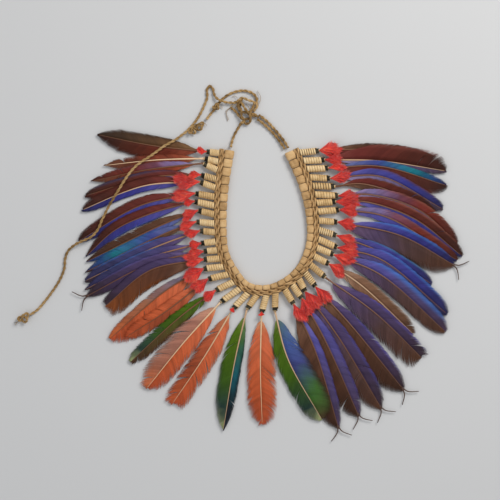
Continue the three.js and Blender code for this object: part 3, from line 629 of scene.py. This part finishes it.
def feather_height(index, points):
    """The height of one feather over the plan: it rides over one neighbour and under the other."""
    low, high = max(0, index - 4), min(COUNT, index + 5)
    found = [gaps_to(guides[k], points) for k in range(low, high)]
    distance = np.array([f[0] for f in found])
    side = np.array([f[1] for f in found])
    pick = np.arange(len(points))
    nearest = distance.argmin(0)
    other = nearest + np.where(side[nearest, pick] > 0, 1, -1)
    inside = (other >= 0) & (other < high - low)
    other = np.clip(other, 0, high - low - 1)
    near, far = distance[nearest, pick], distance[other, pick]
    share = np.where(inside, near / np.maximum(near + far, 1e-6), 0.0)
    here = ranks[low + nearest] * (1 - share) + ranks[low + other] * share
    out = np.clip(gaps_to(row_guide, points)[0] / DROOP_RUN, 0, 1)
    return ROOT_HEIGHT + (TIP_HEIGHT - ROOT_HEIGHT) * out + LAYER_STEP * (ranks[index] - here)


print(COUNT, "shafts, ranks from", ranks.min(), "to", ranks.max())

# %% [markdown]
# ## Feathers
# A vane is a row of barbs on each side of the shaft. Every barb leaves the shaft at a steep angle
# and bends towards the tip, and its end lies on the vane's outline. Where the little hooks between
# barbs have let go, the vane splits: barbs on either side of a split lean apart. So each barb is a
# fine closed blade, and the splits, frays and cut ends of each feather come from where barbs end.

# %% Outline of a vane
STATIONS = [0, 0.08, 0.16, 0.28, 0.42, 0.54, 0.66, 0.78, 0.88, 0.95, 1]
VANE_SHARE = [0, 0, 0.55, 0.88, 1, 1, 1]
END_SHARE = {"point": [0.92, 0.66, 0.36, 0.06], "round": [1, 0.92, 0.7, 0.25],
             "blunt": [1, 1, 0.92, 0.7], "fork": [1, 0.85, 0.55, 0.12]}
BARB_GAP = 0.85
BARB_START = 0.07
BARB_STEPS = 5
BARB_LEAN = 1.15


def vane_outline(total, width, end):
    """The edge of one side, as distance along the shaft and out from it, ending on the tip."""
    shares = np.array(VANE_SHARE + END_SHARE[end])
    dense = np.linspace(0.1, 1, 60)
    along = dense * total
    out = np.interp(dense, STATIONS, shares) * width
    return np.vstack([np.column_stack([along, out]), [total, 0.0]])


def barbs(total, width, end, wear, rng):
    """Centre lines of one side's barbs in vane coordinates (B, P, 2): along and out."""
    count = int(total * (0.985 - BARB_START) / BARB_GAP)
    root = np.linspace(BARB_START * total, 0.99 * total, count)
    outline = vane_outline(total, width, end)
    run = lengths_along(outline)
    first = np.interp(BARB_START * total + BARB_LEAN * width * 0.35, outline[:-1, 0], run[:-1])
    share = np.linspace(0, 1, count)
    ends = at_length(outline, first + (run[-1] - first) * share ** 0.97)
    ends[:, 0] += (0.9 * width * (1 - share) * (1 - np.exp(-share * 9)))

    # Splits: each clump of barbs between two splits leans its own way at the outer edge.
    splits = np.sort(rng.random(int(2 + 9 * wear)))
    clump = np.searchsorted(splits, share)
    lean = (rng.random(len(splits) + 1) - 0.5) * (1.2 + 5.5 * wear)
    ragged = 1 - wear * 0.22 * rng.random(count) ** 2 - 0.05 * wander(count, rng, 4)
    step = np.linspace(0, 1, BARB_STEPS)[None, :, None]
    start = np.column_stack([root, np.full(count, 0.2)])
    ends[:, 0] += lean[clump]
    ends[:, 0] = np.minimum(ends[:, 0], total * 1.015)
    ends = start + (ends - start) * ragged[:, None]
    bend = start + (ends - start) * np.array([0.36, 0.62])
    line = (1 - step) ** 2 * start[:, None] + 2 * step * (1 - step) * bend[:, None] + step ** 2 * ends[:, None]
    return line, clump


# %% Placing vane coordinates on a shaft
def on_vane(shaft, local, side):
    """Vane coordinates (N, 2) to plan points beside a curved shaft."""
    run = lengths_along(shaft)
    middle = at_length(shaft, np.clip(local[:, 0], 0, run[-1]))
    heading = directions(shaft)
    way = np.stack([np.interp(local[:, 0], run, heading[:, k]) for k in range(3)], axis=-1)
    past = np.maximum(local[:, 0] - run[-1], 0)[:, None]
    return middle + way * past + left_of(way) * (side * local[:, 1])[:, None]


BARB_HALF_WIDTH = 0.4
BARB_HALF_HEIGHT = 0.11
CAMBER = 0.5
shaft_keratin, tree, shader = new_material("quill_keratin_translucent", 0.35, 0.5)
tone = add_node(tree, "ShaderNodeAttribute", attribute_name="tone").outputs["Fac"]
shade = add_node(tree, "ShaderNodeValToRGB", {0: tone}, ramp=[(0, "#3a241a"), (0.45, "#8a5a3c"), (1, "#f0cfa6")])
tree.links.new(shade.outputs[0], shader.inputs["Base Color"])
PALE_SHAFTS = {1: 0.95, 4: 0.8, 9: 0.55, 10: 0.5, 16: 0.9, 17: 0.8, 18: 0.7, 19: 0.85, 20: 0.75, 26: 0.7, 37: 0.7}


def make_feather(index):
    """One feather: two vanes of barbs and a tapering shaft."""
    tie, via, tip, wide, step_, end, before, after, edge, wear = FEATHERS[index]
    shaft = shafts[index]
    total = lengths_along(shaft)[-1]
    rng = np.random.default_rng(100 + index)
    joined = Joined()
    for side, width in ((-1, wide[0]), (1, wide[1])):
        local, clump = barbs(total, width, end, wear, rng)
        count = len(local)
        plan = on_vane(shaft, local.reshape(-1, 2), side)
        height = feather_height(index, plan)
        out = np.clip(local[..., 1].ravel() / width, 0, 1)
        height += CAMBER * (1 - out ** 2) * 0.5 + 0.05 * (np.repeat(clump, BARB_STEPS) % 3 - 1) * out
        plan[:, 2] = height
        lines = plan.reshape(count, BARB_STEPS, 3)
        taper = np.interp(np.linspace(0, 1, BARB_STEPS), [0, 0.6, 1], [1, 1, 0.35])
        half = BARB_HALF_WIDTH * np.broadcast_to(taper, (count, BARB_STEPS))
        points, faces, owner = sweep(lines, half, BARB_HALF_HEIGHT, BARB_SECTION)
        across = 0.5 + 0.5 * side * np.repeat(out, 3)
        along = np.repeat(np.clip(local[..., 0].ravel() / total, 0, 1), 3)
        tone = 0.6 * wander(count, rng, 5) + 0.4 * rng.random(count)
        joined.add(points, faces, np.column_stack([across, along]), tone[owner])
    run = np.linspace(0, total * 0.985, 26)
    line = at_length(shaft, run)
    line[:, 2] = feather_height(index, line) + CAMBER * 0.5 + 0.1
    radius = np.interp(run / total, [0, 0.1, 0.5, 1], [1.25, 1.0, 0.6, 0.22])
    points, faces, _ = sweep([line], radius[None], radius[None] * 0.75, round_section(6))
    pale = PALE_SHAFTS.get(index, 0.3)
    joined.add(points, faces, None, pale, slot=1)
    if end == "fork":
        add_prongs(joined, index, shaft, total)
    coat = plumage(f"feather_barbs_{index + 1:02d}", before, after, edge)
    piece = joined.build(f"feather_{index + 1:02d}_barbs", [coat, shaft_keratin])
    node = f"feather_{index + 1:02d}"
    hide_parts(node)
    return piece


# %% Forked tips
PRONG_TURN = 38.0
PRONG_LENGTH = 19.0
PRONG_BACK = 4.0


def add_prongs(joined, index, shaft, total):
    """The two stripped ends of a forked tip."""
    heading = directions(shaft)[-1]
    start = shaft[-1] - heading * PRONG_BACK
    for sign in (-1, 1):
        turn = math.radians(PRONG_TURN) * sign
        out = np.array([heading[0] * math.cos(turn) - heading[1] * math.sin(turn),
                        heading[0] * math.sin(turn) + heading[1] * math.cos(turn), 0.0])
        line = smooth_line([start, start + (heading + out) * PRONG_LENGTH * 0.22, start + out * PRONG_LENGTH], 6)
        line[:, 2] = feather_height(index, line[:1])[0] + 0.2
        radius = np.linspace(1.0, 0.45, len(line))[None]
        points, faces, _ = sweep([line], radius, radius * 0.5, round_section(6))
        joined.add(points, faces, None, 0.05, slot=1)


feather_pieces = [make_feather(index) for index in range(COUNT)]
print("feathers:", sum(triangles(piece) for piece in feather_pieces), "triangles")

# %% [markdown]
# ## Sleeves and ties
# A sleeve is the folded quill wound with flat strips of straw-coloured fibre, turn against turn.
# One winding is spun as a screw with bmesh, and stamped on every sleeve at its own length. The
# black thread that closes each sleeve is the same idea with a round section.

# %% Wound strips
SLEEVE_RADIUS = 3.7
SLEEVE_HEIGHT = 3.9
ROW_SIDE = 2.6


def screw(section, pitch, turns, sides):
    """A closed strip wound round Z from the given section, as points and faces."""
    body = bmesh.new()
    ring = [body.verts.new((x, 0.0, z)) for x, z in section]
    face = body.faces.new(ring)
    bmesh.ops.spin(body, geom=[face], cent=(0, 0, 0), axis=(0, 0, 1), dvec=(0, 0, pitch / sides),
                   angle=2 * math.pi * turns, steps=int(sides * turns), use_duplicate=False)
    bmesh.ops.recalc_face_normals(body, faces=body.faces)
    points = np.array([v.co[:] for v in body.verts])
    faces = [[v.index for v in f.verts] for f in body.faces]
    body.free()
    return points, faces


def rod(radius_start, radius_end, length, sides):
    """A closed round rod along Z."""
    body = bmesh.new()
    bmesh.ops.create_cone(body, cap_ends=True, segments=sides, radius1=radius_start, radius2=radius_end,
                          depth=length, matrix=Matrix.Translation((0, 0, length / 2)))
    points = np.array([v.co[:] for v in body.verts])
    faces = [[v.index for v in f.verts] for f in body.faces]
    body.free()
    return points, faces


def strip_section(radius, width, thick):
    """A flat strip with a slightly crowned back, on the given radius."""
    return [(radius - thick, 0.0), (radius - thick * 0.2, 0.04 * width), (radius, 0.5 * width),
            (radius - thick * 0.2, 0.96 * width), (radius - thick, width)]


WRAP_TURNS = 7
wrap = screw(strip_section(1.0, 0.95, 0.12), 1.0, WRAP_TURNS, 18)
loose_wrap = screw(strip_section(1.0, 0.78, 0.12), 1.0, WRAP_TURNS, 18)
core_rod = rod(0.9, 0.9, 1.0, 12)
THREAD_TURNS = 5
thread_section = [(1.0 + 0.16 * math.cos(a), 0.42 * math.sin(a) + 0.42)
                  for a in np.linspace(0, 2 * math.pi, 6, endpoint=False)]
thread_coil = screw(thread_section, 0.9, THREAD_TURNS, 12)
print("one winding:", len(wrap[0]), "points")


def stamp(joined, shape, start, way, scale_radius, scale_length, tone, slot=0):
    """A copy of a shape that lies along Z, stretched and laid along a level direction."""
    points, faces = shape
    side = left_of(way[None])[0]
    local = points * np.array([scale_radius, scale_radius, scale_length])
    placed = start + local[:, :1] * side + local[:, 1:2] * UP + local[:, 2:] * way
    turn = np.arctan2(points[:, 1], points[:, 0]) / (2 * math.pi)
    joined.add(placed, faces, np.column_stack([turn, points[:, 2]]), tone, slot)


straw = fibre_material("straw_strip_wound", "#9a7647", "#d8b47e", "#f0d6a8", (3, 7, 1), 0.7)
# The core's dark fibre is painted shade: it fills the gaps between the turns of the winding with the dark of shadow.
painted_shade_fibre = fibre_material("fibre_in_shadow", "#2a1c10", "#4a3420", "#6a4e30", (3, 7, 1), 0.9)
black_thread = fibre_material("cotton_thread_black", "#0c0d0b", "#1f211c", "#4a4638", (2, 4, 1), 0.75)

# %% Sleeve stretches
GAPPY = {3, 24, 29, 34, 38}
SLEEVE_STRETCHES = [(0, 7), (8, 15), (16, 23), (24, 31), (32, 38)]


def lift(point, height):
    """A plan point at a height."""
    return np.array([point[0], point[1], height])


def add_sleeve(joined, index, rng):
    """One sleeve: a dark core whose colour is painted shade between the turns, the winding, and the thread tie."""
    tie = flat([FEATHERS[index][0]])[0]
    way = sleeve_ways[index]
    start = lift(row_feet[index] + way * ROW_SIDE, SLEEVE_HEIGHT)
    tie_start = lift(tie - way * TIE_LENGTH / 2, SLEEVE_HEIGHT)
    length = np.linalg.norm(tie_start - start)
    tone = 0.35 + 0.5 * rng.random()
    stamp(joined, core_rod, start - way * 2.0, way, SLEEVE_RADIUS, length + 2.6, 0.5, 1)
    chosen = loose_wrap if index in GAPPY else wrap
    stamp(joined, chosen, start - way * 0.4, way, SLEEVE_RADIUS, (length + 0.9) / WRAP_TURNS, tone)
    stamp(joined, rod(0.85, 0.75, 1.0, 8), tie_start, way, 2.5, TIE_LENGTH + 0.8, 0.6, 0)
    stamp(joined, thread_coil, tie_start + way * 0.2, way, 2.45, 0.9, rng.random(), 2)


# %% [markdown]
# ## The twined row and the core
# Two pairs of strands twine across the sleeves, one over and one under at each of them. Inside
# them lies the core: one wrapped block for each sleeve, where the fibre goes round the band.

# %% Twined strands
TWINE_RADIUS = 1.15
TWINE_SWING = (0.9, 2.5)
TWINE_OFFSETS = (-1.1, 1.5)
TWINE_HEIGHT = 4.1


def add_twining(joined, first, last, rng):
    """The twined strands over one stretch of sleeves."""
    reach = np.linspace(ROW_LENGTH * first / COUNT + 0.2, ROW_LENGTH * (last + 1) / COUNT - 0.2, (last - first + 1) * 9)
    middle = at_length(row_line, reach)
    way = directions(middle)
    side = left_of(way)
    for pair, offset in enumerate(TWINE_OFFSETS):
        for phase in (0, math.pi):
            turn = (math.pi * reach / (ROW_LENGTH / COUNT) + phase + pair * 1.1)[:, None]
            line = middle + side * (offset + TWINE_SWING[0] * np.cos(turn)) + UP * (
                TWINE_HEIGHT + TWINE_SWING[1] * np.sin(turn))
            points, faces, _ = sweep([line], TWINE_RADIUS, TWINE_RADIUS, round_section(7))
            around = np.tile(np.arange(7) / 7, len(reach))
            uv = np.column_stack([np.repeat(reach, 7) * 0.4, around])
            joined.add(points, faces, uv, 0.25 + 0.35 * rng.random(), 3)


twine_fibre = fibre_material("palm_strand_twined", "#6a4c28", "#b89262", "#dcb987", (1.5, 9, 1), 0.8)
for number, (first, last) in enumerate(SLEEVE_STRETCHES):
    joined = Joined()
    rng = np.random.default_rng(40 + number)
    for index in range(first, last + 1):
        add_sleeve(joined, index, rng)
    add_twining(joined, first, last, rng)
    piece = joined.build(f"sleeve_row_{number + 1}_wound", [straw, painted_shade_fibre, black_thread, twine_fibre])
    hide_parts(f"sleeve_row_{number + 1}")
    print(piece.name, triangles(piece), "triangles")

# %% The wrapped core
CORE_REACH = 8.8
CORE_FLARE = 5.0
CORE_NEAR = 2.75
CORE_HEIGHT = 3.4
BLOCK_STEPS = 7
core_sides = 18
swell = np.sin(np.linspace(0, math.pi, BLOCK_STEPS)) ** 0.35
blocks, widths, heights = [], [], []
for index in range(COUNT):
    share = np.linspace(index + 0.03, index + 0.97, BLOCK_STEPS) / COUNT
    middle = at_length(row_line, share * ROW_LENGTH)
    inward = left_of(directions(at_length(row_line, share * ROW_LENGTH)))
    reach = CORE_REACH + CORE_FLARE * np.abs(2 * share - 1) ** 1.5
    blocks.append(middle + inward * ((CORE_NEAR + reach) / 2)[:, None] + UP * CORE_HEIGHT)
    widths.append((reach - CORE_NEAR) / 2 * (0.9 + 0.1 * swell))
    heights.append(CORE_HEIGHT * (0.86 + 0.14 * swell))
angle = 2 * math.pi * np.arange(core_sides) / core_sides
cushion = np.column_stack([np.sign(np.cos(angle)) * np.abs(np.cos(angle)) ** 0.6,
                           np.sign(np.sin(angle)) * np.abs(np.sin(angle)) ** 0.7])
points, faces, owner = sweep(blocks, np.array(widths), np.array(heights), cushion)
rng = np.random.default_rng(7)
joined = Joined()
run = np.tile(np.repeat(np.linspace(0, 9, BLOCK_STEPS), core_sides), COUNT)
around = np.tile(np.tile(np.arange(core_sides) / core_sides, BLOCK_STEPS), COUNT)
joined.add(points, faces, np.column_stack([around, run]), (0.25 + 0.5 * rng.random(COUNT))[owner])
core_wrap = fibre_material("palm_strip_core_wrap", "#7a5a34", "#c39c6a", "#e0bd8a", (1.2, 2.6, 1), 0.75)
core_piece = joined.build("base_band_wrapped", [core_wrap])
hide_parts("base_band")
print(core_piece.name, triangles(core_piece), "triangles")

# %% [markdown]
# ## Red tufts
# Short body feathers dyed or grown red, bound over each quill. They are soft: the barbs don't hook
# together, so each tuft is a few small plumes whose barbs curl up and apart.

# %% Plumes of a tuft
TUFT_STRETCHES = [
    [(0, 13, 2), (3, 16, 3), (4, 34, 4), (5, 34, 3), (6, 14, 2), (7, 24, 3)],
    [(8, 22, 3), (9, 22, 3), (10, 17, 3), (11, 22, 3), (12, 25, 4), (13, 28, 4)],
    [(14, 28, 4), (15, 18, 3), (17, 6, 1)],
    [(19, 6, 1), (21, 26, 3), (22, 24, 5), (23, 28, 4), (24, 28, 3)],
    [(26, 24, 4), (27, 28, 3), (28, 26, 3), (29, 28, 3), (30, 26, 3), (31, 24, 3)],
    [(32, 32, 4), (33, 22, 3), (35, 26, 3), (36, 22, 2), (37, 22, 3), (38, 28, 5)],
]
TUFT_FLOOR = 6.4
TUFT_BARBS = 46
PLUME_STEPS = 5


def add_plume(joined, start, heading, length, width, rng):
    """A small soft feather: barbs from a short shaft, curling upwards at their ends."""
    side = left_of(heading[None])[0]
    bend = (rng.random() - 0.5) * 0.5
    share = np.linspace(0.05, 0.96, TUFT_BARBS)
    for sign in (-1, 1):
        jitter = rng.random(TUFT_BARBS)
        out = width * np.sin(np.clip(share * 1.15, 0, 1) * math.pi) ** 0.6 * (0.7 + 0.5 * jitter)
        reach = 0.28 * length * (1 - share) * (0.6 + jitter) + 0.05 * length
        step = np.linspace(0, 1, PLUME_STEPS)[None, :]
        along = share[:, None] * length + reach[:, None] * step
        aside = sign * out[:, None] * step ** 0.8 + bend * (along / length) ** 2 * width
        rise = 0.4 + (0.8 + 2.2 * jitter[:, None]) * step ** 2 * np.sin(math.pi * np.clip(share, 0.15, 1))[:, None]
        sag = -1.2 * np.clip(along / length - 0.5, 0, 1) ** 2
        lines = start + along[..., None] * heading + aside[..., None] * side + (rise + sag)[..., None] * UP
        lines[..., 2] = np.maximum(lines[..., 2], TUFT_FLOOR)
        taper = np.linspace(1, 0.25, PLUME_STEPS)
        points, faces, owner = sweep(lines, 0.34 * np.broadcast_to(taper, along.shape), 0.12, BARB_SECTION)
        tip = np.repeat(np.clip(along.ravel() / length, 0, 1), 3)
        joined.add(points, faces, np.column_stack([np.repeat(step * np.ones_like(along), 3), tip]),
                   (0.5 * jitter + 0.5 * wander(TUFT_BARBS, rng, 5))[owner])


red_down, tree, shader = new_material("down_barbs_red", 0.62, 0.25)
shader.inputs["Sheen Weight"].default_value = 0.3
tone = add_node(tree, "ShaderNodeAttribute", attribute_name="tone").outputs["Fac"]
where = add_node(tree, "ShaderNodeTexCoord").outputs["Object"]
patch = add_node(tree, "ShaderNodeTexNoise", {"Vector": where}, inputs={"Scale": 90.0, "Detail": 2.0})
mixed = add_node(tree, "ShaderNodeMath", {0: tone, 1: patch.outputs["Fac"]}, operation="ADD")
half = add_node(tree, "ShaderNodeMath", {0: mixed.outputs[0]}, operation="MULTIPLY", inputs={1: 0.5})
# The reds run from painted shadow at the dark end, through the down's own reds, to a painted orange highlight at the
# light end. Each barb's tone and a slow noise pick the place on the ramp.
reds_and_painted_light = add_node(tree, "ShaderNodeValToRGB", {0: half.outputs[0]},
                ramp=[(0.2, "#8c0f12"), (0.42, "#cc1c18"), (0.58, "#e43424"), (0.72, "#ee5a3c"), (0.9, "#f08a6c")])
tree.links.new(reds_and_painted_light.outputs[0], shader.inputs["Base Color"])

tuft_pieces = []
for number, tufts in enumerate(TUFT_STRETCHES):
    joined = Joined()
    rng = np.random.default_rng(200 + number)
    for index, length, plumes in tufts:
        shaft = shafts[index]
        root = lift(shaft[0], TUFT_FLOOR + 0.3)
        ahead = at_length(shaft, [0.2 * lengths_along(shaft)[-1]])[0]
        heading = (ahead - shaft[0]) / np.linalg.norm(ahead - shaft[0])
        for plume in range(plumes):
            turn = math.radians(9) * (plume - (plumes - 1) / 2) + (rng.random() - 0.5) * 0.1
            way = np.array([heading[0] * math.cos(turn) - heading[1] * math.sin(turn),
                            heading[0] * math.sin(turn) + heading[1] * math.cos(turn), 0.0])
            long = length * (0.75 + 0.3 * rng.random())
            add_plume(joined, root - heading * 2 + UP * 0.35 * plume, way, long, 2.6 + 0.07 * length, rng)
    piece = joined.build(f"tuft_row_{number + 1}_plumes", [red_down])
    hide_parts(f"tuft_row_{number + 1}")
    tuft_pieces.append(piece)
print("tufts:", sum(triangles(piece) for piece in tuft_pieces), "triangles")

# %% [markdown]
# ## The table
# A plain pale surface a little below the lowest fibre, so that nothing meets it edge on.

# %% Floor
FLOOR_SIZE = 6.0
floor_mesh = bpy.data.meshes.new("floor")
body = bmesh.new()
bmesh.ops.create_grid(body, x_segments=1, y_segments=1, size=FLOOR_SIZE / 2)
bmesh.ops.translate(body, verts=body.verts, vec=(0, 0, -0.0002))
body.to_mesh(floor_mesh)
body.free()
table, tree, shader = new_material("painted_board_pale", 0.9, 0.2)
shader.inputs["Base Color"].default_value = linear("#cccccc")
floor_mesh.materials.append(table)
floor = bpy.data.objects.new("floor", floor_mesh)
bpy.context.scene.collection.objects.link(floor)
